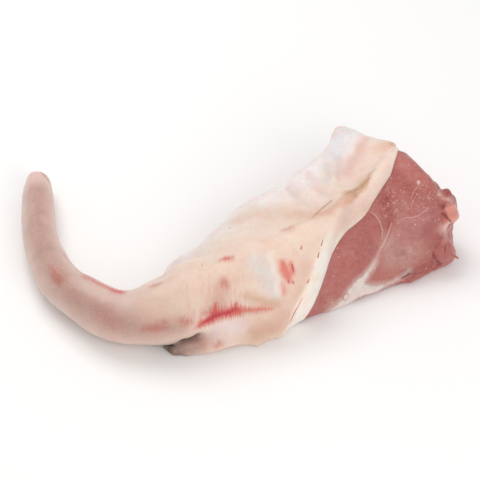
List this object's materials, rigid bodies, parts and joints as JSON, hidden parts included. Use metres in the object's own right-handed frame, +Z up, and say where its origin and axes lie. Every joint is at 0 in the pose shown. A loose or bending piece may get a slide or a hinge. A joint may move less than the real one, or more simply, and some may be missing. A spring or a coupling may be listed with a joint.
{
  "type": "pork tail",
  "caption": "Raw pork tail with its piece of rump: a curling skin-covered tail, a wide skin flap, a bevelled band of fat and bare lean at the cut end.",
  "frame": {"origin": "centre of the box on the surface that the piece lies on", "axes": "+X from the tail towards the lean at the cut end, +Y the way the tail's tip points, +Z up"},
  "size_m": [0.2848, 0.1632, 0.0585],
  "materials": {
    "pork_tail": "moist pale pig skin, with creamy fat and rosy lean at the cut end"
  },
  "bodies": {
    "root": {"pork_tail": "pork_tail"}
  },
  "joints": []
}
